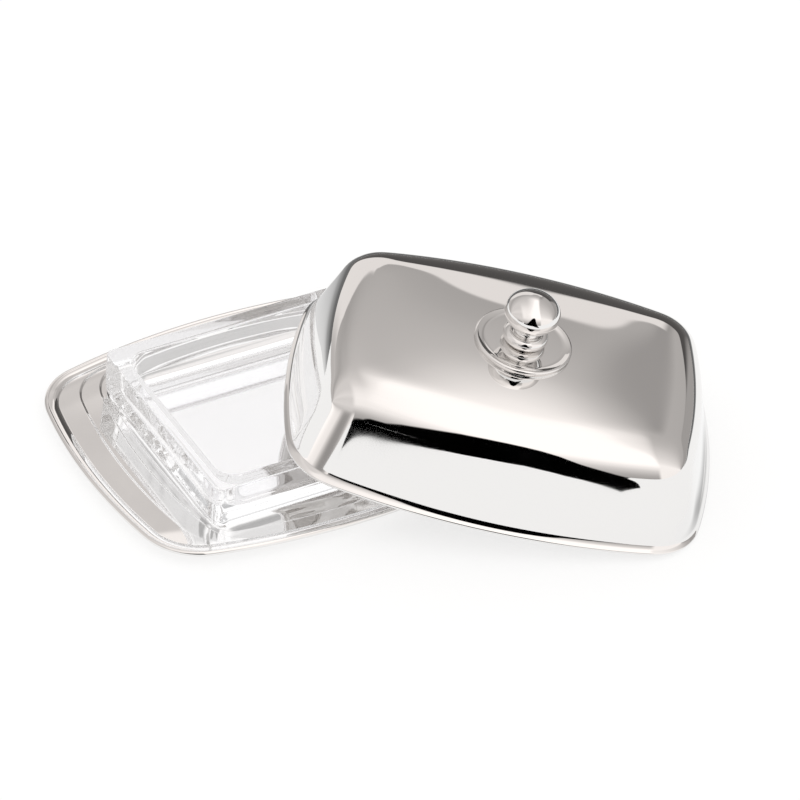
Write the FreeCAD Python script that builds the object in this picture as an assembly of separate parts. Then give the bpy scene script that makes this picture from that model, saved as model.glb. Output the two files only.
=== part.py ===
"""Butter dish: a stepped metal tray, a glass insert and a domed metal lid with a turned knob.

Millimetres, +Z up. The origin is at the middle of the tray's underside, where it stands on the table.
+X runs along the tray's long axis. The lid is off the tray: one end leans on the insert's walls,
and its near right corner stands on the table.
"""
import FreeCAD, Part
import os
from math import atan2, cos, radians, sin, sqrt, tan

os.makedirs("parts", exist_ok=True)

# Tray: pressed sheet with a rolled edge and stepped ends
TRAY_HALF_LENGTH = 88.0
TRAY_HALF_WIDTH = 68.4
TRAY_BOW_LONG = 13.0        # how far the long sides bulge
TRAY_BOW_SHORT = 10.5       # how far the ends bulge
TRAY_CORNER = 25.8
TRAY_SHEET = 1.2
TRAY_RIM_TOP = 5.2          # height of the flat rim above the table
RIM_BAND = 5.0              # width of the rim, edge included
EDGE_ROLL = 2.0             # width of the rolled edge
EDGE_DROP = 2.2             # height of the rolled edge
EDGE_PROUD = 0.25           # the rolled edge stands this much over the flat rim
STEP_RUN = 0.6              # horizontal run of each step's wall
SIDE_NARROW = 0.95          # the same for the two upper ledges along the long sides
LEDGES = (10.8, 9.2, 4.7)   # widths of the three ledges at each end, each with its step
SIDE_LEDGE = 6.6            # the same for the lowest ledge along the long sides
RECESS_END = 400.0          # radius of the recess's ends, flatter than the tray's so that the insert fits
RECESS_CORNER = 10.6

# Glass insert: a trough for a 250 g block of butter
INSERT_HALF_LENGTH = 56.5
INSERT_HALF_WIDTH = 47.2
INSERT_HEIGHT = 20.5
INSERT_WALL = 6.2
INSERT_CORNER = 3.5
INSERT_HOLLOW_CORNER = 8.0

# Lid: a pillow-shaped dome with a small flared lip. Heights are above the lip's underside.
LIP_TO_TRAY_EDGE = 2.0      # the closed lid's lip lies this far inside the tray's edge
LID_SHEET = 1.0
LIP_WIDTH = 2.4
LIP_HEIGHT = 4.4
WALL_LEAN = 18.0            # degrees from upright
SHOULDER = 15.0             # radius between the wall and the top
SHOULDER_TOP = 39.3
CROWN_TOP = 42.0
CORNER_TIGHTENS = 0.55      # the dome's corners tighten by this share of the inset
SHOULDER_RINGS = 9
CROWN_START = radians(86)   # how far round the shoulder goes before the crown takes over
CROWN_RINGS = (0.92, 0.82, 0.7, 0.58, 0.47)

# Knob and rose
ROSE_RADIUS = 19.4
ROSE_BEAD = 0.8             # radius of the rose's round rim
ROSE_PLATE = 1.2            # thickness of the plate just inside the rim
ROSE_FLOOR = CROWN_TOP + 1.4
ROSE_FLAT = 7.0             # radius of the plate's flat middle, where the knob stands
BALL_RADIUS = 11.0
BALL_HALF_HEIGHT = 7.9
BALL_CENTRE = 14.5          # over the rose's flat middle
BALL_START = (0.6, 0.8)     # where the neck meets the ball, as shares of its two half sizes
COLLAR_RADIUS = 9.0
COLLAR_HALF_HEIGHT = 2.1
COLLAR_CENTRE = 2.9
COLLAR_END_RADIUS = 5.0     # where the collar meets the neck
NECK_RADIUS = 4.4
STEM_RADIUS = 5.1           # between the foot and the collar
FOOT_RADIUS = 5.6
FOOT_FLARE = (5.2, 0.3)     # radius and height of the middle of the foot's flare

# Screw that holds the knob from inside the lid
SCREW_RADIUS = 2.0
SCREW_CLEARANCE = 0.2       # round the shank, in the lid, the rose and the washer
THREAD_CLEARANCE = 0.05     # round the shank, in the knob
SCREW_REACH = 8.0           # how far the screw goes into the knob
SCREW_HEAD_RADIUS = 3.8
SCREW_HEAD_HEIGHT = 2.4
HEAD_FILLET = 1.0
WASHER_RADIUS = 6.0
WASHER_THICKNESS = 1.0
WASHER_GAP = 0.02
SLOT_WIDTH = 0.9
SLOT_DEPTH = 1.2
BORE_LENGTH = 9.5           # how deep the knob is drilled

# How the lid leans: its own middle, then its turn, tilt and lean
LID_MIDDLE = (70.4, -46.3, 12.55)
LID_TURN = -33.82
LID_TILT = 8.10
LID_LEAN = 1.33

V = FreeCAD.Vector
UP = V(0, 0, 1)


class Outline:
    """A rectangle with bowed sides and round corners, all arcs tangent to each other."""

    def __init__(self, half_length, half_width, long_radius, short_radius, corner):
        self.a = half_length
        self.b = half_width
        self.long_radius = long_radius
        self.short_radius = short_radius
        self.corner = corner

    def inset(self, d, corner_share=1.0):
        """The same outline moved inwards by d. A corner_share under 1 keeps more of the corner's radius."""
        return Outline(self.a - d, self.b - d, self.long_radius - d, self.short_radius - d,
                       self.corner - corner_share * d)

    def shorter(self, d):
        """The same outline with only its ends moved inwards by d."""
        return Outline(self.a - d, self.b, self.long_radius, self.short_radius, self.corner)

    def scaled(self, k):
        return Outline(self.a * k, self.b * k, self.long_radius * k, self.short_radius * k, self.corner * k)

    def corner_centre(self):
        """Centre of the corner arc that touches the long side's arc and the end's arc from inside."""
        long_x, long_y = 0.0, self.b - self.long_radius
        end_x, end_y = self.a - self.short_radius, 0.0
        to_long = self.long_radius - self.corner
        to_end = self.short_radius - self.corner
        gap = sqrt((end_x - long_x) ** 2 + (end_y - long_y) ** 2)
        along = (to_long ** 2 - to_end ** 2 + gap ** 2) / (2 * gap)
        across = sqrt(max(to_long ** 2 - along ** 2, 0.0))
        ux, uy = (end_x - long_x) / gap, (end_y - long_y) / gap
        return long_x + along * ux + across * uy, long_y + along * uy - across * ux

    def wire(self, z):
        """Closed wire at height z: end, corner, long side, corner, and so on round."""
        cx, cy = self.corner_centre()
        a_end = atan2(cy, cx - (self.a - self.short_radius))
        a_long = atan2(cy - (self.b - self.long_radius), cx)
        a_mid = (a_end + a_long) / 2
        c = self.corner
        end = (cx + c * cos(a_end), cy + c * sin(a_end))
        mid = (cx + c * cos(a_mid), cy + c * sin(a_mid))
        side = (cx + c * cos(a_long), cy + c * sin(a_long))

        def p(point, sx, sy):
            return V(point[0] * sx, point[1] * sy, z)

        tip = (self.a, 0.0)
        top = (0.0, self.b)
        arcs = [
            (p(end, 1, -1), p(tip, 1, 1), p(end, 1, 1)),
            (p(end, 1, 1), p(mid, 1, 1), p(side, 1, 1)),
            (p(side, 1, 1), p(top, 1, 1), p(side, -1, 1)),
            (p(side, -1, 1), p(mid, -1, 1), p(end, -1, 1)),
            (p(end, -1, 1), p(tip, -1, 1), p(end, -1, -1)),
            (p(end, -1, -1), p(mid, -1, -1), p(side, -1, -1)),
            (p(side, -1, -1), p(top, 1, -1), p(side, 1, -1)),
            (p(side, 1, -1), p(mid, 1, -1), p(end, 1, -1)),
        ]
        return Part.Wire([Part.Arc(*arc).toShape() for arc in arcs])


def bowed(half_length, half_width, bow_long, bow_short, corner):
    """Outline from its half sizes and how far each side bulges."""
    return Outline(half_length, half_width, half_length ** 2 / (2 * bow_long),
                   half_width ** 2 / (2 * bow_short), corner)


def round_rectangle(half_length, half_width, corner, z):
    """Closed wire of a rectangle with straight sides and round corners."""
    edges = []
    inner = [(half_length - corner, half_width - corner, 0), (corner - half_length, half_width - corner, 90),
             (corner - half_length, corner - half_width, 180), (half_length - corner, corner - half_width, 270)]
    points = []
    for cx, cy, start in inner:
        for turn in (0, 45, 90):
            angle = radians(start + turn)
            points.append(V(cx + corner * cos(angle), cy + corner * sin(angle), z))
    for i in range(4):
        first, middle, last = points[3 * i:3 * i + 3]
        edges.append(Part.Arc(first, middle, last).toShape())
        edges.append(Part.LineSegment(last, points[(3 * i + 3) % 12]).toShape())
    return Part.Wire(edges)


def band(first, second):
    """Faces between two rings. Rings at the same height have one flat face with a hole between them."""
    if abs(first.BoundBox.ZMin - second.BoundBox.ZMin) < 1e-6:
        return Part.makeFace([first, second], "Part::FaceMakerBullseye").Faces
    return Part.makeLoft([first, second], False, True).Faces


def ring_solid(wires):
    """Solid whose skin runs from ring to ring. Flat faces close the first and the last ring."""
    faces = [Part.Face(wires[0]), Part.Face(wires[-1])]
    for first, second in zip(wires, wires[1:]):
        faces += band(first, second)
    shell = Part.makeShell(faces)
    shell.sewShape()
    solid = Part.makeSolid(Part.Shell(shell.Faces))
    if solid.Volume < 0:
        solid.reverse()
    return solid


def turned(profile):
    """Solid of revolution about Z from a closed wire or edge list in the XZ plane."""
    return Part.Face(Part.Wire(profile)).revolve(V(0, 0, 0), UP, 360)


def line(r1, z1, r2, z2):
    return Part.LineSegment(V(r1, 0, z1), V(r2, 0, z2)).toShape()


def save(name, shape):
    solid = shape.removeSplitter()
    print(name, "valid", solid.isValid(), "solids", len(solid.Solids), "volume", round(solid.Volume, 1))
    solid.exportStep("parts/" + name + ".step")


# ---- tray ----

tray_edge = bowed(TRAY_HALF_LENGTH, TRAY_HALF_WIDTH, TRAY_BOW_LONG, TRAY_BOW_SHORT, TRAY_CORNER)


def tray_levels():
    """The four pockets, from the rim down: (outline at its top edge, its top height, its floor height)."""
    drop = (TRAY_RIM_TOP - TRAY_SHEET) / 4
    first = tray_edge.inset(RIM_BAND)
    second = first.inset(SIDE_NARROW).shorter(LEDGES[0] - SIDE_NARROW)
    third = second.inset(SIDE_NARROW).shorter(LEDGES[1] - SIDE_NARROW)
    last = third.inset(SIDE_LEDGE).shorter(LEDGES[2] - SIDE_LEDGE)
    last.short_radius = RECESS_END
    last.corner = RECESS_CORNER
    levels = []
    for i, outline in enumerate((first, second, third, last)):
        levels.append((outline, TRAY_RIM_TOP - i * drop, TRAY_RIM_TOP - (i + 1) * drop))
    return levels


def rolled_edge():
    """(inset, height) round the rolled edge, from its underside to the flat rim."""
    top = TRAY_RIM_TOP + EDGE_PROUD
    low = top - EDGE_DROP
    return [(EDGE_ROLL, TRAY_RIM_TOP - TRAY_SHEET), (EDGE_ROLL - 0.2, low + 0.15), (0.8, low),
            (0.25, low + 0.3), (0.0, low + 0.8), (0.0, top - 0.8), (0.25, top - 0.3), (0.8, top),
            (EDGE_ROLL - 0.4, top), (EDGE_ROLL, TRAY_RIM_TOP)]


def tray():
    """One sheet: under the floor and steps, round the rolled edge, and back over the steps to the floor."""
    wires = []
    levels = tray_levels()
    for outline, high, low in reversed(levels):
        wires.append(outline.inset(STEP_RUN - TRAY_SHEET).wire(low - TRAY_SHEET))
        wires.append(outline.inset(-TRAY_SHEET).wire(high - TRAY_SHEET))
    for d, z in rolled_edge():
        wires.append(tray_edge.inset(d).wire(z))
    for outline, high, low in levels:
        wires.append(outline.wire(high))
        wires.append(outline.inset(STEP_RUN).wire(low))
    return ring_solid(wires)


# ---- insert ----

# (inset from the outer sides, height): rounded underneath, upright above, softened rim
INSERT_OUTSIDE = ((3.2, 0.0), (1.7, 0.5), (0.8, 1.7), (0.25, 3.8), (0.0, 7.0), (0.0, 19.9), (0.15, 20.35),
                  (0.6, 20.5))
# (inset from the hollow's sides, height): softened rim, slight taper, rounded floor
INSERT_INSIDE = ((-0.6, 20.5), (-0.15, 20.35), (0.0, 19.9), (0.9, 9.0), (1.6, 6.6), (3.2, 5.0), (5.4, 4.5))


def glass_insert():
    """One run of rings: up the outside, over the rim and down to the floor of the hollow."""
    wires = [round_rectangle(INSERT_HALF_LENGTH - d, INSERT_HALF_WIDTH - d, INSERT_CORNER, z + TRAY_SHEET)
             for d, z in INSERT_OUTSIDE]
    for d, z in INSERT_INSIDE:
        wires.append(round_rectangle(INSERT_HALF_LENGTH - INSERT_WALL - d, INSERT_HALF_WIDTH - INSERT_WALL - d,
                                     INSERT_HOLLOW_CORNER, z + TRAY_SHEET))
    return ring_solid(wires)


# ---- lid ----

lip_edge = tray_edge.inset(LIP_TO_TRAY_EDGE)

# (inset, height) of the lip: a small bead, then a hollow flare up to the wall
LIP_OUTSIDE = ((0.4, 0.0), (0.0, 0.4), (0.0, 1.1), (0.4, 1.5), (1.3, 2.3), (2.0, 3.3), (LIP_WIDTH, LIP_HEIGHT))
LIP_INSIDE = ((3.0, 3.0), (2.2, 1.4), (1.4, 0.5), (1.4, 0.0))


def shoulder_start():
    """(inset, height) where the leaning wall meets the shoulder."""
    height = SHOULDER_TOP - SHOULDER + SHOULDER * sin(radians(WALL_LEAN))
    return LIP_WIDTH + (height - LIP_HEIGHT) * tan(radians(WALL_LEAN)), height


def dome_rings(sheet):
    """Wires of the dome from the lip up to the flat middle of the crown, moved inwards by sheet."""
    base = lip_edge.inset(LIP_WIDTH)
    lean = radians(WALL_LEAN)
    start_d, _ = shoulder_start()
    centre_d = start_d + SHOULDER * cos(lean)
    centre_z = SHOULDER_TOP - SHOULDER
    wires = [base.inset(sheet / cos(lean), CORNER_TIGHTENS).wire(LIP_HEIGHT)]
    for i in range(SHOULDER_RINGS + 1):
        angle = lean + (CROWN_START - lean) * i / SHOULDER_RINGS
        d = centre_d - (SHOULDER - sheet) * cos(angle)
        z = centre_z + (SHOULDER - sheet) * sin(angle)
        wires.append(base.inset(d - LIP_WIDTH, CORNER_TIGHTENS).wire(z))
    top = base.inset(centre_d - LIP_WIDTH, CORNER_TIGHTENS)
    for k in CROWN_RINGS:
        share = (k ** 2 - CROWN_RINGS[-1] ** 2) / (1 - CROWN_RINGS[-1] ** 2)
        wires.append(top.scaled(k).wire(CROWN_TOP - sheet - (CROWN_TOP - SHOULDER_TOP) * share))
    return wires


def lip_rings(profile):
    return [lip_edge.inset(d).wire(z) for d, z in profile]


def stem_hole():
    return Part.makeCylinder(SCREW_RADIUS + SCREW_CLEARANCE, 2 * CROWN_TOP)


def lid_shell():
    """One sheet: down the inside of the dome, round the lip, and up the outside to the crown."""
    inside = dome_rings(LID_SHEET)[::-1]
    outside = dome_rings(0.0)[1:]
    wires = inside + lip_rings(LIP_INSIDE) + lip_rings(LIP_OUTSIDE) + outside
    return ring_solid(wires).cut(stem_hole())


def knob_rose():
    """Thin round plate with a round rim, which stands on the crown's flat middle."""
    low = CROWN_TOP
    rim_r = ROSE_RADIUS - ROSE_BEAD
    plate_r = rim_r - ROSE_BEAD
    bead = Part.Arc(V(rim_r, 0, low), V(ROSE_RADIUS, 0, low + ROSE_BEAD), V(rim_r, 0, low + 2 * ROSE_BEAD))
    profile = [
        line(0, low, rim_r, low),
        bead.toShape(),
        line(rim_r, low + 2 * ROSE_BEAD, plate_r, low + ROSE_PLATE),
        line(plate_r, low + ROSE_PLATE, ROSE_FLAT, ROSE_FLOOR),
        line(ROSE_FLAT, ROSE_FLOOR, 0, ROSE_FLOOR),
        line(0, ROSE_FLOOR, 0, low),
    ]
    return turned(profile).cut(stem_hole())


def ball_outline(ball_z, steps=12):
    """Curve from the neck round the flattened ball to its top."""
    start = -atan2(BALL_START[1], BALL_START[0])
    points = []
    for step in range(steps + 1):
        angle = start + step * (radians(90) - start) / steps
        points.append(V(BALL_RADIUS * cos(angle), 0, ball_z + BALL_HALF_HEIGHT * sin(angle)))
    curve = Part.BSplineCurve()
    curve.interpolate(points)
    return curve.toShape()


def knob():
    """Turned knob: flared foot, round collar, neck and flattened ball."""
    z0 = ROSE_FLOOR
    low = z0 + COLLAR_CENTRE - COLLAR_HALF_HEIGHT
    high = z0 + COLLAR_CENTRE + COLLAR_HALF_HEIGHT
    ball_z = z0 + BALL_CENTRE
    ball_low = V(BALL_RADIUS * BALL_START[0], 0, ball_z - BALL_HALF_HEIGHT * BALL_START[1])
    foot = V(FOOT_RADIUS, 0, z0)
    flare = V(FOOT_FLARE[0], 0, z0 + FOOT_FLARE[1])
    collar_low = V(STEM_RADIUS, 0, low)
    collar_mid = V(COLLAR_RADIUS, 0, z0 + COLLAR_CENTRE)
    collar_high = V(COLLAR_END_RADIUS, 0, high)
    neck = V(NECK_RADIUS, 0, (high + ball_low.z) / 2)
    profile = [
        line(0, z0, FOOT_RADIUS, z0),
        Part.Arc(foot, flare, collar_low).toShape(),
        Part.Arc(collar_low, collar_mid, collar_high).toShape(),
        Part.Arc(collar_high, neck, ball_low).toShape(),
        ball_outline(ball_z),
        line(0, ball_z + BALL_HALF_HEIGHT, 0, z0),
    ]
    overrun = 1.0
    bore = Part.makeCylinder(SCREW_RADIUS + THREAD_CLEARANCE, BORE_LENGTH + overrun, V(0, 0, z0 - overrun))
    return turned(profile).cut(bore)


def underside():
    return CROWN_TOP - LID_SHEET


def knob_washer():
    z = underside() - WASHER_THICKNESS - WASHER_GAP
    disc = Part.makeCylinder(WASHER_RADIUS, WASHER_THICKNESS, V(0, 0, z))
    return disc.cut(stem_hole())


def knob_screw():
    """Pan-head screw from inside the lid up into the knob."""
    seat = underside() - WASHER_THICKNESS - WASHER_GAP
    low = seat - SCREW_HEAD_HEIGHT
    head = Part.makeCylinder(SCREW_HEAD_RADIUS, SCREW_HEAD_HEIGHT, V(0, 0, low))
    lower_rim = [e for e in head.Edges if abs(e.BoundBox.ZMax - low) < 1e-6]
    head = head.makeFillet(HEAD_FILLET, lower_rim)
    shank = Part.makeCylinder(SCREW_RADIUS, ROSE_FLOOR + SCREW_REACH - seat, V(0, 0, seat))
    slot = Part.makeBox(2 * SCREW_HEAD_RADIUS, SLOT_WIDTH, SLOT_DEPTH,
                        V(-SCREW_HEAD_RADIUS, -SLOT_WIDTH / 2, low))
    return head.fuse(shank).cut(slot)


def leaned(shape):
    """Puts a lid piece where the lid leans."""
    turn = FreeCAD.Rotation(LID_TURN, LID_TILT, LID_LEAN)
    placed = shape.copy()
    placed.Placement = FreeCAD.Placement(V(*LID_MIDDLE), turn).multiply(placed.Placement)
    return placed


save("tray", tray())
save("glass_insert", glass_insert())
for name, make in (("lid_shell", lid_shell), ("knob_rose", knob_rose), ("knob", knob),
                   ("knob_washer", knob_washer), ("knob_screw", knob_screw)):
    save(name, leaned(make()))
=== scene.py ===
"""Looks of the butter dish: polished steel tray and lid, clear glass insert, white studio.

Metres, in the CAD's frame. Shapes are written in millimetres and scaled at the end.
The tray, the glass, the lid's shell, its rose and its knob are rebuilt here as fine smooth skins
on the same outlines as the CAD, because a mirror shows every flat facet.
"""
from math import asin, atan2, cos, degrees, pi, radians, sin, sqrt, tan

import bpy
import numpy as np
from mathutils import Matrix, Vector


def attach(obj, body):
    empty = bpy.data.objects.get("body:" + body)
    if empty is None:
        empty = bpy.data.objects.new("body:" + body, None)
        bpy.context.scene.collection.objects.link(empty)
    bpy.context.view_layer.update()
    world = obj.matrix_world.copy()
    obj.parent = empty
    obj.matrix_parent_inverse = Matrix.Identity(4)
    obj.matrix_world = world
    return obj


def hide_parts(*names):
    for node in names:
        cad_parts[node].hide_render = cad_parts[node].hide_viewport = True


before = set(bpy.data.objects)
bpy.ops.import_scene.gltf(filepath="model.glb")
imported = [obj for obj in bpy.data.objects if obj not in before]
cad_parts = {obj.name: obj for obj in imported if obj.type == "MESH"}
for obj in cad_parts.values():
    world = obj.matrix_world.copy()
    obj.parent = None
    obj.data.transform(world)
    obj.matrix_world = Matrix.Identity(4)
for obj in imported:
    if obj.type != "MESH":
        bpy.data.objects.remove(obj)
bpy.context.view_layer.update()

MM = 0.001

# ------------------------------------------------------------------ driving sizes, in millimetres
TRAY = dict(half_length=88.0, half_width=68.4, bow_long=13.0, bow_short=10.5, corner=25.8)
TRAY_SHEET = 1.2
TRAY_RIM_TOP = 5.2
RIM_BAND = 5.0
EDGE_ROLL = 2.0
EDGE_DROP = 2.2
EDGE_PROUD = 0.25
EDGE_TURN = 250.0           # degrees of arc in the rolled edge
EDGE_STEPS = 24
STEP_RUN = 0.6
SIDE_NARROW = 0.95
LEDGES = (10.8, 9.2, 4.7)
SIDE_LEDGE = 6.6
RECESS_END = 400.0
RECESS_CORNER = 10.6
TOP_FILLET = 0.54           # length that the rounding of a fold takes from each side of it
UNDER_FILLET = 0.35
FLOOR_RINGS = (0.98, 0.6, 0.2)

INSERT_HALF_LENGTH = 56.5
INSERT_HALF_WIDTH = 47.2
INSERT_WALL = 6.2
INSERT_CORNER = 3.5
INSERT_HOLLOW_CORNER = 8.0
INSERT_FOOT = dict(half_length=50.0, half_width=41.0, corner=3.0)
INSERT_FILLET = 0.9
GLASS_LIFT = 0.2            # air between the glass and the steel under it
# Sections are (distance in from the outline, height).
INSERT_OUTSIDE = ((3.2, 0.0), (1.7, 0.5), (0.8, 1.7), (0.25, 3.8), (0.0, 7.0), (0.0, 19.9), (0.15, 20.35),
                  (0.6, 20.5))
INSERT_INSIDE = ((-0.6, 20.5), (-0.15, 20.35), (0.0, 19.9), (0.9, 9.0), (1.6, 6.6), (3.2, 5.0), (5.4, 4.5))

LIP_TO_TRAY_EDGE = 2.0
LID_SHEET = 1.0
LIP_WIDTH = 2.4
LIP_HEIGHT = 4.4
LIP_FILLET = 0.45
LIP_OUTSIDE = ((0.4, 0.0), (0.0, 0.4), (0.0, 1.1), (0.4, 1.5), (1.3, 2.3), (2.0, 3.3))
LIP_INSIDE = ((3.0, 3.0), (2.2, 1.4), (1.4, 0.5), (1.4, 0.0))
WALL_LEAN = radians(18.0)
SHOULDER = 15.0
SHOULDER_TOP = 39.3
CROWN_TOP = 42.0
CORNER_TIGHTENS = 0.55
LID_SOFTNESS = 3.0          # points along an outline over which its arcs run into each other
CROWN_HALF_LENGTH = 61.6
CROWN_HALF_WIDTH = 42.0
HOLE_RADIUS = 2.2
SHOULDER_END = radians(83.0)
WALL_RINGS = 24
SHOULDER_RINGS = 25
CROWN_RINGS = 42
CROWN_MERGE = 6             # how many of the wall's top rings already follow the crown's height a little

ROSE_RADIUS = 19.4
ROSE_BEAD = 0.8
ROSE_PLATE = 1.2
ROSE_FLOOR = CROWN_TOP + 1.4
ROSE_FLAT = 7.0
ROSE_SKIRT = 1.2            # how far the rose's hidden edge runs into the crown
BALL_RADIUS = 11.0
BALL_HALF_HEIGHT = 7.9
BALL_CENTRE = 14.5
BALL_CUT = asin(0.8)        # angle below the ball's middle where the neck begins
COLLAR_RADIUS = 9.0
COLLAR_HALF_HEIGHT = 2.1
COLLAR_CENTRE = 2.9
COLLAR_END_RADIUS = 5.0
NECK_RADIUS = 4.4
STEM_RADIUS = 5.1
FOOT_RADIUS = 5.6
FOOT_EDGE = 0.05
SCREW_BORE = 2.05
SCREW_DEPTH = 9.5

LID_PLACE = (Matrix.Translation((70.4, -46.3, 12.55)) @ Matrix.Rotation(radians(-33.82), 4, "Z")
             @ Matrix.Rotation(radians(8.10), 4, "Y") @ Matrix.Rotation(radians(1.33), 4, "X"))


# ------------------------------------------------------------------ outlines and skins
class Outline:
    """A rectangle with bowed sides and round corners, all arcs tangent to each other."""

    def __init__(self, half_length, half_width, long_radius, short_radius, corner):
        self.a = half_length
        self.b = half_width
        self.long_radius = long_radius
        self.short_radius = short_radius
        self.corner = corner

    def inset(self, d, corner_share=1.0):
        return Outline(self.a - d, self.b - d, self.long_radius - d, self.short_radius - d,
                       self.corner - corner_share * d)

    def shorter(self, d):
        return Outline(self.a - d, self.b, self.long_radius, self.short_radius, self.corner)

    def scaled(self, k):
        return Outline(self.a * k, self.b * k, self.long_radius * k, self.short_radius * k, self.corner * k)

    def corner_centre(self):
        long_y = self.b - self.long_radius
        end_x = self.a - self.short_radius
        to_long = self.long_radius - self.corner
        to_end = self.short_radius - self.corner
        gap = sqrt(end_x ** 2 + long_y ** 2)
        along = (to_long ** 2 - to_end ** 2 + gap ** 2) / (2 * gap)
        across = sqrt(max(to_long ** 2 - along ** 2, 0.0))
        ux, uy = end_x / gap, -long_y / gap
        return along * ux + across * uy, long_y + along * uy - across * ux

    def points(self, end_steps=40, corner_steps=26, long_steps=64):
        """Points round the outline, anticlockwise from the middle of the +X end."""
        cx, cy = self.corner_centre()
        end_x = self.a - self.short_radius
        long_y = self.b - self.long_radius
        a_end = atan2(cy, cx - end_x)
        a_long = atan2(cy - long_y, cx)
        t = np.arange(end_steps) / end_steps * a_end
        quarter = [np.stack([end_x + self.short_radius * np.cos(t), self.short_radius * np.sin(t)], 1)]
        t = a_end + np.arange(corner_steps) / corner_steps * (a_long - a_end)
        quarter.append(np.stack([cx + self.corner * np.cos(t), cy + self.corner * np.sin(t)], 1))
        t = a_long + np.arange(long_steps + 1) / long_steps * (pi / 2 - a_long)
        quarter.append(np.stack([self.long_radius * np.cos(t), long_y + self.long_radius * np.sin(t)], 1))
        q = np.concatenate(quarter)
        left = q[::-1][1:] * (-1, 1)
        half = np.concatenate([q, left])
        below = half[::-1][1:-1] * (1, -1)
        return np.concatenate([half, below])


def bowed(half_length, half_width, bow_long, bow_short, corner):
    return Outline(half_length, half_width, half_length ** 2 / (2 * bow_long),
                   half_width ** 2 / (2 * bow_short), corner)


def straight_points(half_length, half_width, corner, side_steps=60, corner_steps=14):
    """Points round a rectangle with straight sides and round corners, anticlockwise from the +X end."""
    x, y = half_length - corner, half_width - corner
    t = np.arange(corner_steps) / corner_steps * (pi / 2)
    side = np.linspace(0, 1, side_steps, endpoint=False)[:, None]
    quarter = np.concatenate([
        (half_length, 0) + side * (0, y),
        np.stack([x + corner * np.cos(t), y + corner * np.sin(t)], 1),
        (x, half_width) + side * (-x, 0),
        [(0, half_width)],
    ])
    left = quarter[::-1][1:] * (-1, 1)
    half = np.concatenate([quarter, left])
    return np.concatenate([half, half[::-1][1:-1] * (1, -1)])


def at(points, z):
    """Flat points, put at height z."""
    return np.column_stack([points, np.full(len(points), float(z))])


def bell_weights(width):
    """Smoothing weights that add up to 1, and how far they reach to each side."""
    reach = int(3 * width)
    weights = np.exp(-0.5 * (np.arange(-reach, reach + 1) / width) ** 2)
    return weights / weights.sum(), reach


def softened_round(rings, width):
    """Smooths each ring along itself, so that its arcs run into each other without a kink."""
    weights, reach = bell_weights(width)
    out = np.zeros_like(rings)
    for w, shift in zip(weights, range(-reach, reach + 1)):
        out += w * np.roll(rings, shift, axis=1)
    return out


def softened_across(rings, width):
    """Smooths from ring to ring. The first and the last ring stay where they are."""
    weights, reach = bell_weights(width)
    first, last = rings[:1], rings[-1:]
    before = [2 * first - rings[i:i + 1] for i in range(reach, 0, -1)]
    after = [2 * last - rings[-1 - i:len(rings) - i] for i in range(1, reach + 1)]
    padded = np.concatenate(before + [rings] + after)
    out = np.zeros_like(rings)
    for i, w in enumerate(weights):
        out += w * padded[i:i + len(rings)]
    return out


def filleted(rings, reach, steps):
    """Rounds the fold at every ring but the ends. reach is the length taken from each side of a fold."""
    most = 0.48             # of a side, so that two roundings never meet
    tiny = 1e-9
    out = [rings[0]]
    for before, here, after in zip(rings, rings[1:], rings[2:]):
        to_before = before - here
        to_after = after - here
        length_before = np.linalg.norm(to_before, axis=1, keepdims=True) + tiny
        length_after = np.linalg.norm(to_after, axis=1, keepdims=True) + tiny
        start = here + to_before * np.minimum(reach / length_before, most)
        stop = here + to_after * np.minimum(reach / length_after, most)
        for i in range(steps + 1):
            t = i / steps
            out.append((1 - t) ** 2 * start + 2 * t * (1 - t) * here + t ** 2 * stop)
    out.append(rings[-1])
    return out


def skin(name, rings, place=None, closed=False, caps=()):
    """Smooth mesh from ring to ring. caps names the ends that get a flat fan: "first", "last"."""
    rings = [np.asarray(r, float) for r in rings]
    n = len(rings[0])
    count = len(rings)
    verts = np.concatenate(rings)
    faces = []
    last_pair = count if closed else count - 1
    for i in range(last_pair):
        j = (i + 1) % count
        a = i * n + np.arange(n)
        b = j * n + np.arange(n)
        faces.append(np.column_stack([a, np.roll(a, -1), np.roll(b, -1), b]))
    faces = np.concatenate(faces).tolist()
    verts = verts.tolist()
    for end in caps:
        ring = 0 if end == "first" else count - 1
        centre = rings[ring].mean(0)
        verts.append(centre.tolist())
        top = len(verts) - 1
        for k in range(n):
            here = ring * n + k
            after = ring * n + (k + 1) % n
            faces.append([top, after, here] if end == "first" else [top, here, after])
    return mesh_object(name, verts, faces, place)


def mesh_object(name, verts, faces, place=None):
    mesh = bpy.data.meshes.new(name)
    mesh.from_pydata(verts, [], faces)
    mesh.transform(Matrix.Scale(MM, 4) @ (place or Matrix.Identity(4)))
    mesh.polygons.foreach_set("use_smooth", np.ones(len(mesh.polygons), bool))
    mesh.update()
    obj = bpy.data.objects.new(name, mesh)
    bpy.context.scene.collection.objects.link(obj)
    return obj


def turned(name, profile, place=None, around=160):
    """Mesh of revolution about Z from (radius, height) points. A point on the axis closes that end."""
    on_axis = 1e-6
    angles = np.arange(around) / around * 2 * pi
    circle = np.column_stack([np.cos(angles), np.sin(angles)])
    rings = [at(circle * r, z) for r, z in profile if r > on_axis]
    caps = []
    if profile[0][0] <= on_axis:
        caps.append("first")
    if profile[-1][0] <= on_axis:
        caps.append("last")
    return skin(name, rings, place, closed=not caps, caps=caps)


# ------------------------------------------------------------------ tray
tray_edge = bowed(**TRAY)


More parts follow.
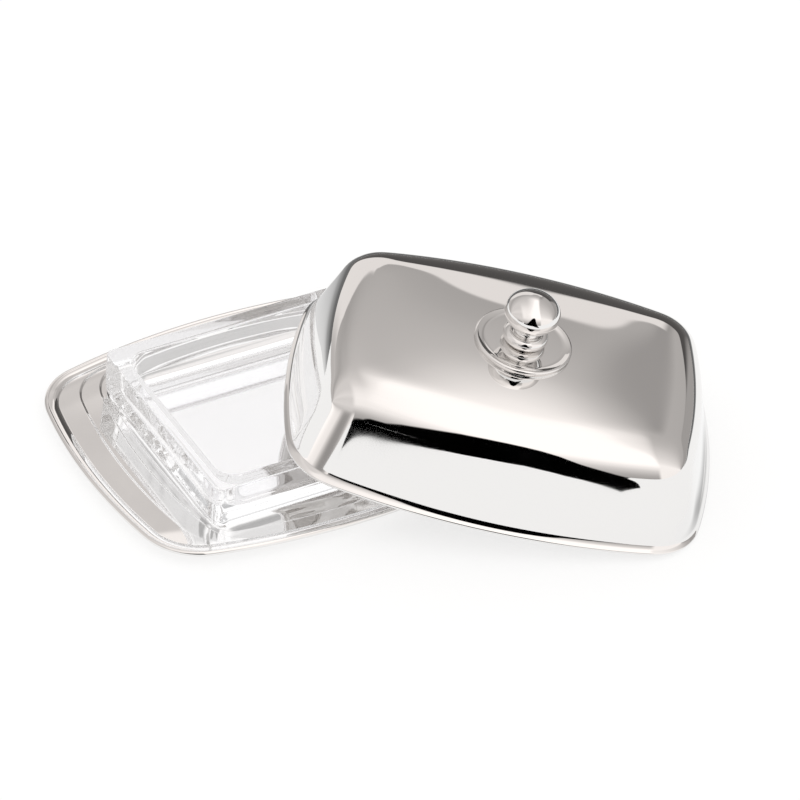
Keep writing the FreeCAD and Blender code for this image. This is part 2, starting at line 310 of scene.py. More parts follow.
def tray_levels():
    """The four outlines that step down to the recess, each with the heights above and below its step."""
    drop = (TRAY_RIM_TOP - TRAY_SHEET) / 4
    first = tray_edge.inset(RIM_BAND)
    second = first.inset(SIDE_NARROW).shorter(LEDGES[0] - SIDE_NARROW)
    third = second.inset(SIDE_NARROW).shorter(LEDGES[1] - SIDE_NARROW)
    last = third.inset(SIDE_LEDGE).shorter(LEDGES[2] - SIDE_LEDGE)
    last.short_radius = RECESS_END
    last.corner = RECESS_CORNER
    return [(outline, TRAY_RIM_TOP - i * drop, TRAY_RIM_TOP - (i + 1) * drop)
            for i, outline in enumerate((first, second, third, last))]


def build_tray():
    """Skin of the tray: out along the underside, round the rolled edge, and in to the recess's middle."""
    levels = tray_levels()
    under = []
    for outline, high, low in reversed(levels):
        under.append(at(outline.inset(STEP_RUN - TRAY_SHEET).points(), low - TRAY_SHEET))
        under.append(at(outline.inset(-TRAY_SHEET).points(), high - TRAY_SHEET))
    top = TRAY_RIM_TOP + EDGE_PROUD
    roll = EDGE_DROP / 2
    edge = [at(tray_edge.inset(EDGE_ROLL).points(), TRAY_RIM_TOP - TRAY_SHEET)]
    for step in range(EDGE_STEPS + 1):
        turn = radians(EDGE_TURN * (step / EDGE_STEPS - 0.5))
        edge.append(at(tray_edge.inset(roll - roll * cos(turn)).points(), top - roll + roll * sin(turn)))
    edge.append(at(tray_edge.inset(EDGE_ROLL + 0.1).points(), TRAY_RIM_TOP))
    over = []
    for outline, high, low in levels:
        over.append(at(outline.points(), high))
        over.append(at(outline.inset(STEP_RUN).points(), low))
    floor = levels[-1][0].inset(STEP_RUN)
    middle = [at(floor.scaled(k).points(), levels[-1][2]) for k in FLOOR_RINGS]
    under_floor = [at(floor.inset(-TRAY_SHEET).scaled(k).points(), 0.0) for k in reversed(FLOOR_RINGS)]
    below = filleted(under_floor + under, UNDER_FILLET, 3)
    above = filleted(over + middle, TOP_FILLET, 6)
    return skin("tray_skin", below + edge + above, caps=("first", "last"))


# ------------------------------------------------------------------ glass insert
def build_insert():
    """Skin of the glass: under the foot, up the outside, over the rim and down to the hollow's floor."""
    hollow_length = INSERT_HALF_LENGTH - INSERT_WALL
    hollow_width = INSERT_HALF_WIDTH - INSERT_WALL
    last_d, floor_z = INSERT_INSIDE[-1]
    rings = []
    for k in (0.2, 0.7, 1.0):
        foot = straight_points(**{name: size * k for name, size in INSERT_FOOT.items()})
        rings.append(at(foot, 0.0))
    for d, z in INSERT_OUTSIDE:
        rings.append(at(straight_points(INSERT_HALF_LENGTH - d, INSERT_HALF_WIDTH - d, INSERT_CORNER), z))
    for d, z in INSERT_INSIDE:
        rings.append(at(straight_points(hollow_length - d, hollow_width - d, INSERT_HOLLOW_CORNER), z))
    for k in (0.95, 0.6, 0.2):
        sizes = (hollow_length - last_d, hollow_width - last_d, INSERT_HOLLOW_CORNER)
        rings.append(at(straight_points(*(size * k for size in sizes)), floor_z))
    lift = (0, 0, TRAY_SHEET + GLASS_LIFT)
    return skin("glass_skin", [r + lift for r in filleted(rings, INSERT_FILLET, 4)], caps=("first", "last"))


# ------------------------------------------------------------------ lid
lip_edge = tray_edge.inset(LIP_TO_TRAY_EDGE)


def dome_profile(sheet):
    """Distances in from the lip's edge, and heights, up the wall and round the shoulder."""
    centre_z = SHOULDER_TOP - SHOULDER
    start_z = centre_z + SHOULDER * sin(WALL_LEAN)
    centre_d = LIP_WIDTH + (start_z - LIP_HEIGHT) * tan(WALL_LEAN) + SHOULDER * cos(WALL_LEAN)
    radius = SHOULDER - sheet
    wall_d0 = LIP_WIDTH + sheet / cos(WALL_LEAN)
    wall_d1 = centre_d - radius * cos(WALL_LEAN)
    wall_z1 = centre_z + radius * sin(WALL_LEAN)
    profile = []
    for t in np.arange(WALL_RINGS) / WALL_RINGS:
        profile.append((wall_d0 + (wall_d1 - wall_d0) * t, LIP_HEIGHT + (wall_z1 - LIP_HEIGHT) * t))
    for angle in np.linspace(WALL_LEAN, SHOULDER_END, SHOULDER_RINGS):
        profile.append((centre_d - radius * cos(angle), centre_z + radius * sin(angle)))
    return profile


def dome_rings(sheet):
    """Rings from the lip's top up the wall, over the shoulder and across the crown to the stem hole."""
    base = lip_edge.inset(LIP_WIDTH)
    profile = dome_profile(sheet)
    merge_start = WALL_RINGS - CROWN_MERGE
    rings = []
    for i, (d, z) in enumerate(profile):
        ring = base.inset(d - LIP_WIDTH, CORNER_TIGHTENS).points()
        share = min(1.0, max(0.0, (i - merge_start) / (len(profile) - merge_start - 1)))
        share = share * share * (3 - 2 * share)
        sag = crown_height(ring, sheet) - (SHOULDER_TOP - sheet)
        rings.append(np.column_stack([ring, z + share * sag]))
    top = base.inset(profile[-1][0] - LIP_WIDTH, CORNER_TIGHTENS)
    for k in np.linspace(1, 0, CROWN_RINGS + 2)[1:-1]:
        ring = rounder_inwards(top.scaled(k).points(), k)
        rings.append(np.column_stack([ring, crown_height(ring, sheet)]))
    return np.array(rings)


def rounder_inwards(ring, k):
    """Turns the crown's rings, scaled by k, from the lid's outline into circles near the stem hole."""
    starts = 0.35
    circle_radius = 45.0
    blend = max(0.0, 1 - k / starts) ** 1.5
    direction = ring / np.linalg.norm(ring, axis=1, keepdims=True)
    return ring * (1 - blend) + direction * max(HOLE_RADIUS, circle_radius * k) * blend


def crown_height(points, sheet):
    """Height of the crown: a shallow bubble over the rectangle of its half sizes."""
    across = 1 - (points[:, 0] / CROWN_HALF_LENGTH) ** 2
    along = 1 - (points[:, 1] / CROWN_HALF_WIDTH) ** 2
    bubble = np.clip(across, 0, 1) * np.clip(along, 0, 1)
    return SHOULDER_TOP - sheet + (CROWN_TOP - SHOULDER_TOP) * bubble


def softened_dome(sheet):
    """Dome rings with a soft run from the shoulder into the crown."""
    rings = dome_rings(sheet)
    soft = softened_across(rings, 4.0)
    rings = softened_across(rings, 2.0)
    knee = WALL_RINGS + SHOULDER_RINGS - 1
    spread_of_knee = 9
    share = np.exp(-((np.arange(len(rings)) - knee) / spread_of_knee) ** 2)[:, None, None]
    return softened_round(rings + share * (soft - rings), LID_SOFTNESS)


def hole_ring(z):
    """Edge of the stem hole, with as many points as the lid's other rings have."""
    points = tray_edge.points()
    return at(points / np.linalg.norm(points, axis=1, keepdims=True) * HOLE_RADIUS, z)


def build_lid():
    """Skin of the lid's shell: down the inside from the stem hole, round the lip and up the outside."""
    outer = softened_dome(0.0)
    inner = softened_dome(LID_SHEET)
    lip = [at(lip_edge.inset(d).points(), z) for d, z in LIP_INSIDE + LIP_OUTSIDE]
    lip = list(softened_round(np.array(lip), LID_SOFTNESS))
    lip = filleted([inner[1], inner[0]] + lip + [outer[0], outer[1]], LIP_FILLET, 4)
    inside = [hole_ring(CROWN_TOP - LID_SHEET)] + list(inner[::-1][:-2])
    outside = list(outer[2:]) + [hole_ring(CROWN_TOP)]
    return skin("lid_skin", inside + lip + outside, LID_PLACE, closed=True)


def arc(cx, cz, rx, rz, start, stop, steps):
    """Points on an ellipse about (cx, cz), from one angle to another, in degrees."""
    angles = [radians(start + (stop - start) * i / steps) for i in range(steps + 1)]
    return [(cx + rx * cos(angle), cz + rz * sin(angle)) for angle in angles]


def through(p0, p1, p2, steps):
    """Points on the circle through three points, from the first to the last."""
    (x0, y0), (x1, y1), (x2, y2) = p0, p1, p2
    d = 2 * (x0 * (y1 - y2) + x1 * (y2 - y0) + x2 * (y0 - y1))
    s0, s1, s2 = x0 ** 2 + y0 ** 2, x1 ** 2 + y1 ** 2, x2 ** 2 + y2 ** 2
    cx = (s0 * (y1 - y2) + s1 * (y2 - y0) + s2 * (y0 - y1)) / d
    cy = (s0 * (x2 - x1) + s1 * (x0 - x2) + s2 * (x1 - x0)) / d
    r = sqrt((x0 - cx) ** 2 + (y0 - cy) ** 2)
    a0, a1, a2 = (atan2(y - cy, x - cx) for x, y in (p0, p1, p2))
    full = 2 * pi
    turn = (a2 - a0) % full
    if (a1 - a0) % full > turn:
        turn -= full
    angles = [a0 + turn * i / steps for i in range(steps + 1)]
    return [(cx + r * cos(angle), cy + r * sin(angle)) for angle in angles]


def build_rose():
    """Skin of the round plate under the knob, with a bead round its edge."""
    bead_r = ROSE_RADIUS - ROSE_BEAD
    plate_r = bead_r - ROSE_BEAD
    plate_z = CROWN_TOP + ROSE_PLATE
    profile = [(HOLE_RADIUS, CROWN_TOP - 0.3),
               (bead_r, CROWN_TOP - ROSE_SKIRT),
               (ROSE_RADIUS - 0.25, CROWN_TOP - ROSE_SKIRT + 0.2)]
    profile += arc(bead_r, CROWN_TOP + ROSE_BEAD, ROSE_BEAD, ROSE_BEAD, -45, 105, 20)
    profile.append((plate_r, plate_z))
    for share in (0.75, 0.5, 0.25, 0.0):
        r = ROSE_FLAT + (plate_r - ROSE_FLAT) * share
        profile.append((r, ROSE_FLOOR - (ROSE_FLOOR - plate_z) * share ** 2))
    profile.append((HOLE_RADIUS, ROSE_FLOOR))
    return turned("rose_skin", profile, LID_PLACE)


def build_knob():
    """Skin of the knob: screw bore, foot, collar, neck and flattened ball."""
    base = ROSE_FLOOR
    collar_z = base + COLLAR_CENTRE
    collar_low = collar_z - COLLAR_HALF_HEIGHT
    collar_high = collar_z + COLLAR_HALF_HEIGHT
    ball_z = base + BALL_CENTRE
    neck_top = (BALL_RADIUS * cos(BALL_CUT), ball_z - BALL_HALF_HEIGHT * sin(BALL_CUT))
    foot = (FOOT_RADIUS, base + FOOT_EDGE)
    profile = [(0.0, base + SCREW_DEPTH), (SCREW_BORE, base + SCREW_DEPTH), (SCREW_BORE, base)]
    profile += [(FOOT_RADIUS - 0.1, base), foot]
    profile += through(foot, (5.2, base + 0.3), (STEM_RADIUS, collar_low), 10)[1:]
    collar_end = (COLLAR_END_RADIUS, collar_high)
    profile += through((STEM_RADIUS, collar_low), (COLLAR_RADIUS, collar_z), collar_end, 30)[1:]
    neck = (NECK_RADIUS, (collar_high + neck_top[1]) / 2)
    profile += through(collar_end, neck, neck_top, 20)[1:]
    profile += arc(0, ball_z, BALL_RADIUS, BALL_HALF_HEIGHT, -degrees(BALL_CUT), 90, 60)[1:]
    return turned("knob_skin", profile, LID_PLACE)


# ------------------------------------------------------------------ studio directions
LOOK_TURN = radians(33.89)
LOOK_DOWN = radians(38.72)
ROLL = radians(6.0)
BACK = Vector((sin(LOOK_TURN), cos(LOOK_TURN), 0.0))
RIGHT = Vector((cos(LOOK_TURN), -sin(LOOK_TURN), 0.0))
UP = Vector((0.0, 0.0, 1.0))
STEEL_SHINE = 0.85
WARM = (1.0, 0.953, 0.926)  # red, green and blue of what the steel reflects
ROOM_LIGHT = 1.02
GLASS_ROOM_LIGHT = 1.05
FLOOR_LIGHT = 0.84

# What mirrors see of the room. A direction is given by around, in degrees from the front horizon (0) over
# the top (90) to the back horizon (180), and by side, in degrees to the right of the middle.
# These are (around, brightness).
OVERHEAD = ((0, 0.35), (10, 0.44), (16, 0.52), (26, 0.66), (33, 0.82), (40, 0.93), (50, 1.0), (85, 1.0),
            (120, 1.0), (125, 0.965), (127.5, 0.90), (129, 0.82), (131, 0.73), (133, 0.645), (135, 0.55),
            (137, 0.49), (140, 0.456), (144, 0.40), (147, 0.381), (160, 0.36))
OVERHEAD_LEFT = ((0, 0.35), (10, 0.44), (16, 0.52), (26, 0.68), (40, 0.88), (60, 0.91), (75, 0.88),
                 (90, 0.80), (100, 0.71), (115, 0.61), (125, 0.565), (135, 0.51), (138, 0.468), (142, 0.41),
                 (147, 0.36), (160, 0.35))
RIGHT_WALL = ((-20, 0.9), (50, 0.92), (62, 0.80), (80, 0.69), (90, 0.645), (100, 0.595), (110, 0.54),
              (120, 0.49), (135, 0.43), (150, 0.41), (170, 0.42))
LEFT_WALL = ((0, 0.41), (15, 0.59), (30, 0.68), (55, 0.65), (70, 0.72), (90, 0.63), (115, 0.62), (140, 0.46),
             (150, 0.38), (170, 0.40))
BACK_WALL = ((150, 0.06), (165, 0.085), (175, 0.12), (185, 0.15), (195, 0.22), (203, 0.42), (215, 0.7),
             (235, 0.84), (270, 0.84))
# (side, brightness)
LEFT_FRONT = ((-80, 0.98), (-60, 0.86), (-55, 0.60), (-50, 0.36), (-46, 0.29), (-42, 0.29), (-38, 0.31),
              (-34, 0.44), (-31, 0.74), (-27, 0.92))
# Edges: (around, side) where the right wall begins, then (side, around) where the pale band in front of
# the back wall begins, and where the black flag in front ends.
RIGHT_WALL_EDGE = ((40, 38), (65, 33), (85, 27), (100, 23), (115, 19.5), (130, 16.5), (145, 14.5), (160, 14))
BAND_EDGE = ((-45, 165), (-40, 162), (-32, 154.5), (-25, 150.5), (-19, 148), (-13, 146), (-7, 144.2),
             (-1, 142.8), (1.5, 144.2), (4, 147.2), (8, 148.4), (12, 149.0), (14, 147.6), (18, 147.6),
             (22, 147.6))
FLAG_TOP = ((-28, -20), (-27.4, 0), (-25, 1), (-17, 2), (-14, 7), (-11, 9), (-7, 19), (-1, 30), (5, 40.5),
            (9, 44.5), (12, 46), (14, 45.5), (16, 43), (18, 36), (20, 22), (22, 12), (24, 2), (26, -7),
            (30, -20))


# ------------------------------------------------------------------ numbers in node trees
class Num:
    """A number in a node tree. Sums and products of these become Math nodes."""

    def __init__(self, tree, socket):
        self.tree = tree
        self.socket = socket

    def feed(self, node, name, value):
        """Gives a node's input a number, or links it to this tree's Num."""
        if isinstance(value, Num):
            self.tree.links.new(value.socket, node.inputs[name])
        else:
            node.inputs[name].default_value = value

    def math(self, operation, *others):
        node = self.tree.nodes.new("ShaderNodeMath")
        node.operation = operation
        for i, value in enumerate((self, *others)):
            self.feed(node, i, value)
        return Num(self.tree, node.outputs[0])

    def __add__(self, other):
        return self.math("ADD", other)

    def __sub__(self, other):
        return self.math("SUBTRACT", other)

    def __mul__(self, other):
        return self.math("MULTIPLY", other)

    def more_than(self, limit):
        """1 above the limit, 0 below it."""
        return self.math("GREATER_THAN", limit)

    def flipped(self):
        """1 minus this number."""
        return self.math("MULTIPLY_ADD", -1.0, 1.0)

    def over(self, edge, soft):
        """0 below the edge, 1 above it, smooth over soft each side."""
        node = self.tree.nodes.new("ShaderNodeMapRange")
        node.interpolation_type = "SMOOTHSTEP"
        self.feed(node, "Value", self)
        self.feed(node, "From Min", edge - soft)
        self.feed(node, "From Max", edge + soft)
        return Num(self.tree, node.outputs["Result"])

    def under(self, edge, soft):
        return self.over(edge, soft).flipped()

    def mix(self, other, share):
        """This number, moved towards other by share."""
        if isinstance(other, Num):
            difference = other - self
        else:
            difference = self.math("MULTIPLY_ADD", -1.0, other)
        return self + difference * share


def ramp(value, stops):
    """Number that depends on value. stops are (value, number from 0 to 1), with straight runs between."""
    tree = value.tree
    low = stops[0][0]
    high = stops[-1][0]
    spread = tree.nodes.new("ShaderNodeMapRange")
    value.feed(spread, "Value", value)
    value.feed(spread, "From Min", low)
    value.feed(spread, "From Max", high)
    node = tree.nodes.new("ShaderNodeValToRGB")
    tree.links.new(spread.outputs["Result"], node.inputs["Fac"])
    elements = node.color_ramp.elements
    while len(elements) < len(stops):
        elements.new(0.5)
    for element, (position, brightness) in zip(elements, stops):
        element.position = (position - low) / (high - low)
        element.color = (brightness, brightness, brightness, 1)
    return Num(tree, node.outputs["Color"])


def curve(value, stops):
    """As ramp, for numbers of any size."""
    low = min(number for _, number in stops)
    high = max(number for _, number in stops)
    shares = [(position, (number - low) / (high - low)) for position, number in stops]
    return ramp(value, shares) * (high - low) + low


def dot(tree, socket, direction):
    node = tree.nodes.new("ShaderNodeVectorMath")
    node.operation = "DOT_PRODUCT"
    tree.links.new(socket, node.inputs[0])
    node.inputs[1].default_value = direction
    return Num(tree, node.outputs["Value"])


def glass_faces_crossed(tree):
    path = tree.nodes.new("ShaderNodeLightPath")
    return Num(tree, path.outputs["Transmission Depth"])


# ------------------------------------------------------------------ studio light
def bright_top(around, side):
    """Soft box overhead, greyer to the left, with walls at both ends and a pale band near the back wall."""
    light = ramp(around, OVERHEAD_LEFT).mix(ramp(around, OVERHEAD), side.over(0.0, 13.0))
    right_wall = ramp(around, RIGHT_WALL)
    shade = around.over(136.0, 3.0) * side.over(15.5, 1.5) * side.under(21.0, 2.5)
    right_wall = right_wall.mix(right_wall * 0.74, shade)
    light = light.mix(right_wall, side.over(curve(around, RIGHT_WALL_EDGE), 3.0))
    light = light.mix(ramp(around, LEFT_WALL), side.under(-31.0, 6.0))
    band = around.over(curve(side, BAND_EDGE), 0.4) * side.under(18.0, 1.5)
    return light.mix(0.745, band)


def dark_back(light, around, side):
    """Dark back wall, which begins lower on the left, with a grey panel at each end."""
    edge = ((side * -1.0 + 5.0).math("MAXIMUM", 0.0) * 0.68) + 154.8
    light = light.mix(ramp(around, BACK_WALL), around.over(edge, 0.6))
    light = light.mix(0.47, side.under(-40.0, 6.0) * around.over(160.0, 10.0))
    return light.mix(0.33, side.over(33.5, 2.5) * around.over(154.0, 2.0))


def dark_front(light, around, side):
    """Shaded corner low on the left, black flag in front, and the bright floor below the horizon."""
    light = light.mix(ramp(side, LEFT_FRONT), side.under(-27.3, 0.4) * around.under(7.0, 7.0))
    # the brightest part of the soft box is lifted to a clean white
    light = light + light.over(0.94, 0.04) * 0.08
    light = light.mix(0.0, around.under(curve(side, FLAG_TOP), 1.6))
    return light.mix(FLOOR_LIGHT, around.under(-4.0, 0.5))


def lighter_in_glass(light, around, side, in_glass):
    """Light that has crossed glass sees plain white, but for a patch that keeps the tray under it grey."""
    patch = around.over(126.0, 4.0) * around.under(152.0, 4.0)
    patch = patch * side.over(-20.0, 5.0) * side.under(20.0, 5.0)
    return light.mix(GLASS_ROOM_LIGHT, in_glass * patch.flipped())


def warm_background(tree, light, in_glass):
    """The steel's reflections are a little warm. In the glass they stay white."""
    combined = tree.nodes.new("ShaderNodeCombineColor")
    shine = light * (1 / STEEL_SHINE)
    for i, tint in enumerate(WARM):
        channel = shine * in_glass.math("MULTIPLY_ADD", 1.0 - tint, tint)
        tree.links.new(channel.socket, combined.inputs[i])
    background = tree.nodes.new("ShaderNodeBackground")
    tree.links.new(combined.outputs["Color"], background.inputs["Color"])
    return background


def studio_light():
    """Plain white room. Mirrors see the drawn room instead, faintly where they are seen through glass."""
    world = bpy.data.worlds.new("studio")
    bpy.context.scene.world = world
    world.use_nodes = True
    tree = world.node_tree
    tree.nodes.clear()
    direction = tree.nodes.new("ShaderNodeTexCoord").outputs["Generated"]
    back = dot(tree, direction, BACK)
    up = dot(tree, direction, UP)
    turn = up.math("ARCTAN2", back * -1.0) * degrees(1)
    around = (turn + 90.0).math("FLOORED_MODULO", 360.0) - 90.0
    side = dot(tree, direction, RIGHT).math("ARCSINE") * degrees(1)
    crossed = glass_faces_crossed(tree)
    in_glass = crossed.more_than(0.5)

    light = bright_top(around, side)
    light = dark_back(light, around, side)
    light = dark_front(light, around, side)
    light = lighter_in_glass(light, around, side, in_glass)
    mirrors = warm_background(tree, light, in_glass)
    plain = tree.nodes.new("ShaderNodeBackground")
    plain.inputs["Color"].default_value = (1, 1, 1, 1)
    plain.inputs["Strength"].default_value = ROOM_LIGHT

    glossy = Num(tree, tree.nodes.new("ShaderNodeLightPath").outputs["Is Glossy Ray"])
    through_a_wall = crossed.over(2.5, 0.4)
    share = glossy * through_a_wall.math("MULTIPLY_ADD", -0.75, 1.0)
    mix = tree.nodes.new("ShaderNodeMixShader")
    tree.links.new(share.socket, mix.inputs["Fac"])
    tree.links.new(plain.outputs["Background"], mix.inputs[1])
    tree.links.new(mirrors.outputs["Background"], mix.inputs[2])
    out = tree.nodes.new("ShaderNodeOutputWorld")
    tree.links.new(mix.outputs["Shader"], out.inputs["Surface"])


# ------------------------------------------------------------------ materials of the pieces
def new_material(name):
    material = bpy.data.materials.new(name)
    material.use_nodes = True
    tree = material.node_tree
    return material, tree, tree.nodes["Principled BSDF"]


def noise(tree, scale, detail, stretch=(1, 1, 1)):
    coords = tree.nodes.new("ShaderNodeTexCoord")
    mapping = tree.nodes.new("ShaderNodeMapping")
    mapping.inputs["Scale"].default_value = stretch
    tree.links.new(coords.outputs["Object"], mapping.inputs["Vector"])
    node = tree.nodes.new("ShaderNodeTexNoise")
    node.inputs["Scale"].default_value = scale
    node.inputs["Detail"].default_value = detail
    tree.links.new(mapping.outputs["Vector"], node.inputs["Vector"])
    return Num(tree, node.outputs["Fac"])


def rough(tree, shader, pattern, low, high):
    """Roughness from low to high, over the middle of the noise pattern's range."""
    node = tree.nodes.new("ShaderNodeMapRange")
    pattern.feed(node, "Value", pattern)
    pattern.feed(node, "From Min", 0.3)
    pattern.feed(node, "From Max", 0.7)
    pattern.feed(node, "To Min", low)
    pattern.feed(node, "To Max", high)
    tree.links.new(node.outputs["Result"], shader.inputs["Roughness"])


def rippled(tree, shader, pattern, depth):
    """Very shallow waves in the surface, depth metres high."""
    bump = tree.nodes.new("ShaderNodeBump")
    bump.inputs["Strength"].default_value = 1.0
    bump.inputs["Distance"].default_value = depth
    tree.links.new(pattern.socket, bump.inputs["Height"])
    tree.links.new(bump.outputs["Normal"], shader.inputs["Normal"])


def steel(name, rough_low, rough_high, ripple):
    """Polished steel: a faint change of gloss and a very shallow ripple left by the polishing."""
    material, tree, shader = new_material(name)
    shader.inputs["Metallic"].default_value = 1.0
    shader.inputs["Base Color"].default_value = (STEEL_SHINE, STEEL_SHINE * 0.99, STEEL_SHINE * 0.98, 1)
    rough(tree, shader, noise(tree, 38, 3.0), rough_low, rough_high)
    rippled(tree, shader, noise(tree, 22, 1.0), ripple)
    return material


def clear_glass():
    """Pressed glass: slow waves along its length, as glass from a mould has."""
    material, tree, shader = new_material("pressed_glass")
    shader.inputs["Base Color"].default_value = (0.982, 0.982, 0.99, 1)
    shader.inputs["Transmission Weight"].default_value = 1.0
    shader.inputs["IOR"].default_value = 1.5
    rough(tree, shader, noise(tree, 60, 2.0), 0.0, 0.012)
    rippled(tree, shader, noise(tree, 70, 1.0, (0.06, 1, 0.5)), 0.00015)
    return material


def wear(material, node):
    """Gives a CAD node this material."""
    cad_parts[node].data.materials.clear()
    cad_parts[node].data.materials.append(material)


# ------------------------------------------------------------------ pieces
mirror_steel = steel("mirror_steel", 0.015, 0.045, 0.00004)
tray_steel = steel("tray_steel", 0.03, 0.07, 0.00005)
screw_steel = steel("screw_steel", 0.22, 0.34, 0.00004)
glass = clear_glass()

for build, node, body, material, slot in (
        (build_tray, "tray", "tray", tray_steel, "steel"),
        (build_insert, "glass_insert", "insert", glass, "glass"),
        (build_lid, "lid_shell", "lid", mirror_steel, "steel"),
        (build_rose, "knob_rose", "lid", mirror_steel, "steel"),
        (build_knob, "knob", "lid", mirror_steel, "steel")):
    piece = build()
    piece.data.materials.append(material)
    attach(piece, body)
    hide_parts(node)
wear(screw_steel, "knob_washer")
wear(screw_steel, "knob_screw")


# ------------------------------------------------------------------ floor
def flat_card(name, corners):
    """One flat polygon that belongs to the studio."""
    mesh = bpy.data.meshes.new(name)
    mesh.from_pydata([tuple(corner) for corner in corners], [], [tuple(range(len(corners)))])
    obj = bpy.data.objects.new(name, mesh)
    bpy.context.scene.collection.objects.link(obj)
    return obj


def glowing(name, surface="ShaderNodeMixShader"):
    """Material that gives off light, joined by the named shader node to a second shader."""
    material = bpy.data.materials.new(name)
    material.use_nodes = True
    tree = material.node_tree
    tree.nodes.clear()
    glow = tree.nodes.new("ShaderNodeEmission")
    both = tree.nodes.new(surface)
    first, second = [socket for socket in both.inputs if socket.type == "SHADER"]
    tree.links.new(glow.outputs[0], first)
    out = tree.nodes.new("ShaderNodeOutputMaterial")
    tree.links.new(both.outputs[0], out.inputs["Surface"])
    return material, tree, glow, both, second


def floor_material():
    """Pale floor with a glow of its own, so that shadows on it stay faint."""
    material, tree, glow, both, second = glowing("pale_floor", "ShaderNodeAddShader")
    glow.inputs["Color"].default_value = (1.0, 0.995, 0.99, 1)
    glow.inputs["Strength"].default_value = 0.72
    matte = tree.nodes.new("ShaderNodeBsdfDiffuse")
    matte.inputs["Color"].default_value = (0.3, 0.3, 0.3, 1)
    tree.links.new(matte.outputs[0], second)
    return material


FLOOR_REACH = 3.0
FLOOR_HEIGHT = -0.0002
floor = flat_card("floor", [(x * FLOOR_REACH, y * FLOOR_REACH, FLOOR_HEIGHT)
                            for x, y in ((-1, -1), (1, -1), (1, 1), (-1, 1))])
floor.data.materials.append(floor_material())


# ------------------------------------------------------------------ cards that only mirrors see
def floor_card(name, outline, height, start=(0, 0, 0)):
    """Glowing sheet on the floor, clear for light that has gone through glass. Only mirrors see it.

    outline is a list of (distance to the back, distance to the right) from start.
    """
    corners = [Vector(start) + BACK * back + RIGHT * right + UP * height for back, right in outline]
    card = flat_card(name, corners)
    card.visible_camera = False
    card.visible_diffuse = False
    card.visible_transmission = False
    card.visible_shadow = False
    material, tree, glow, both, second = glowing(name)
    tree.links.new(tree.nodes.new("ShaderNodeBsdfTransparent").outputs[0], second)
    tree.links.new(glass_faces_crossed(tree).more_than(0.5).socket, both.inputs["Fac"])
    card.data.materials.append(material)
    position = tree.nodes.new("ShaderNodeTexCoord").outputs["Object"]
    return tree, glow, position


def dark_card():
    """Dark sheet behind the dish, paler at its near edge."""
    near, far, left, right = 0.19, 2.5, -0.06, 1.6
    start = Vector((0.05, -0.02, 0))
    outline = [(near, left), (near, right), (far, right), (far, left - 0.5)]
    tree, glow, position = floor_card("dark_card", outline, 0.0008, start)
    distance = dot(tree, position, BACK) - start.dot(BACK)
    grey = ramp(distance, [(near, 0.5), (near + 0.05, 0.28), (near + 0.12, 0.16), (0.7, 0.13)])
    tree.links.new(grey.socket, glow.inputs["Color"])


def left_card():
    """Sheet behind the dish's left end, darker far away."""
    outline = [(0.092, 0.0), (0.092, -0.106), (2.5, -2.345), (2.5, -0.507), (0.2013, -0.007)]
    tree, glow, position = floor_card("left_card", outline, 0.0008)
    distance = dot(tree, position, BACK)
    grey = ramp(distance, [(0.09, 0.8), (0.10, 0.72), (0.12, 0.52), (0.14, 0.37), (0.19, 0.29), (0.32, 0.17),
                           (0.8, 0.16)])
    tree.links.new(grey.socket, glow.inputs["Color"])


def front_card():
    """Black sheet far in front, with a tongue to the right."""
    tongue = [(-0.6, 0.18), (-0.335, 0.184), (-0.205, 0.198), (-0.205, 0.215), (-0.6, 0.385)]
    far_edge = [(-3.7, 1.85), (-3.7, -1.85)]
    near_edge = [(-0.97, -0.40), (-0.82, -0.24), (-0.75, -0.175), (-0.72, -0.14), (-0.67, -0.095),
                 (-0.64, -0.06), (-0.605, 0.0)]
    tree, glow, position = floor_card("front_card", tongue + far_edge + near_edge, 0.0004)
    glow.inputs["Strength"].default_value = 0.0


def side_card():
    """Painted shadow that only mirrors see: a sheet on the floor under the lid's right end, grey in the
    middle, with soft edges. It stands for the shade on the floor right under the lid's lip.
    """
    near, far, left, right = -0.055, 0.045, 0.150, 0.186
    outline = [(near, left), (near, right), (far, right), (far, left)]
    tree, glow, position = floor_card("side_card", outline, -0.0001)
    aside = dot(tree, position, RIGHT)
    back = dot(tree, position, BACK)
    inside = aside.under(0.1715, 0.003) * back.over(-0.035, 0.018) * back.under(0.022, 0.018)
    # painted shadow: 0.42 grey inside, white round it, seen in the lid's reflection
    grey = inside.math("MULTIPLY_ADD", -0.58, 1.0)
    tree.links.new(grey.socket, glow.inputs["Color"])


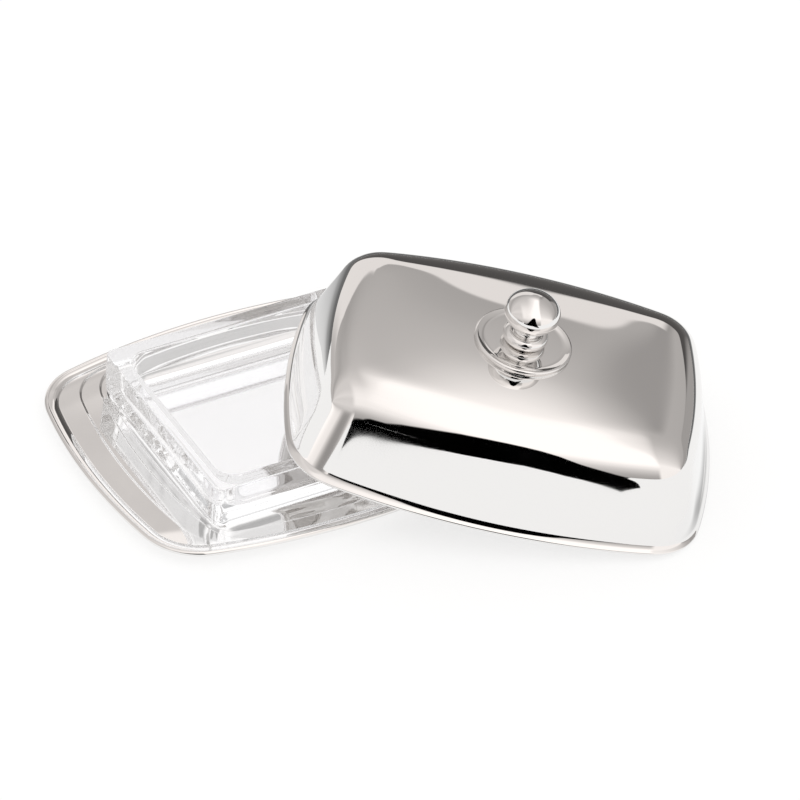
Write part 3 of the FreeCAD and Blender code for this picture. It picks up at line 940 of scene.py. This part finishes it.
def high_card(name, receiver, far, color, glows):
    """Soft pale sheet high behind the dish, which adds light to what is behind it. Only one skin sees it.

    glows are (least number of glass faces crossed, glow low down, glow higher up), and they add up.
    """
    half_width, half_height = 0.5, 0.26
    aim = BACK * cos(LOOK_DOWN) + UP * sin(LOOK_DOWN)
    centre = Vector((-0.03, 0, 0)) + aim * far - RIGHT * 0.06
    upright = RIGHT.cross(aim)
    card = flat_card(name, [centre + RIGHT * s * half_width + upright * t * half_height
                            for s, t in ((-1, -1), (1, -1), (1, 1), (-1, 1))])
    material, tree, glow, both, second = glowing(name, "ShaderNodeAddShader")
    tree.links.new(tree.nodes.new("ShaderNodeBsdfTransparent").outputs[0], second)
    position = tree.nodes.new("ShaderNodeTexCoord").outputs["Object"]
    height = dot(tree, position, upright) - centre.dot(upright)
    crossed = glass_faces_crossed(tree)
    parts = []
    for faces, low, high in glows:
        by_height = ramp(height, [(0.0, low), (0.02, low), (0.065, high), (0.1, high)])
        parts.append(by_height * crossed.more_than(faces - 0.5))
    tree.links.new(sum(parts[1:], parts[0]).socket, glow.inputs["Strength"])
    glow.inputs["Color"].default_value = (*color, 1)
    card.data.materials.append(material)
    card.visible_camera = False
    card.visible_diffuse = False
    card.visible_shadow = False
    seen_by = bpy.data.collections.new("sees_" + name)
    seen_by.objects.link(bpy.data.objects[receiver])
    card.light_linking.receiver_collection = seen_by


# Two high cards in one plane would hide each other, so they stand at different distances.
high_card("tray_card", "tray_skin", 1.2, (1.0, 0.955, 0.93), [(0, 0.19, 0.08), (2, 0.36, 0.0)])
high_card("glass_card", "glass_skin", 1.3, (1.0, 1.0, 1.0), [(3, 0.34, 0.34)])
dark_card()
left_card()
front_card()
# painted shadow under the lid's right end, which only the mirrors see
side_card()
studio_light()


# ------------------------------------------------------------------ camera and light paths
def place_camera():
    """Camera that looks back and down at the dish, rolled a little."""
    target = Vector((0.0507, -0.0051, 0.0))
    distance = 1.880
    lens = bpy.data.cameras.new("camera")
    lens.sensor_width = 36.0
    lens.lens = 211.5
    lens.clip_end = 20.0
    camera = bpy.data.objects.new("camera", lens)
    bpy.context.scene.collection.objects.link(camera)
    forward = BACK * cos(LOOK_DOWN) - UP * sin(LOOK_DOWN)
    level_up = BACK * sin(LOOK_DOWN) + UP * cos(LOOK_DOWN)
    camera_right = RIGHT * cos(ROLL) + level_up * sin(ROLL)
    camera_up = level_up * cos(ROLL) - RIGHT * sin(ROLL)
    turn = Matrix((camera_right, camera_up, -forward)).transposed()
    camera.matrix_world = Matrix.Translation(target - forward * distance) @ turn.to_4x4()
    bpy.context.scene.camera = camera


place_camera()
bpy.context.scene.view_settings.view_transform = "Standard"
bpy.context.scene.view_settings.look = "None"
# The light goes round many times inside the glass and between the glass and the tray.
bpy.context.scene.cycles.max_bounces = 64
bpy.context.scene.cycles.glossy_bounces = 48
bpy.context.scene.cycles.transmission_bounces = 48
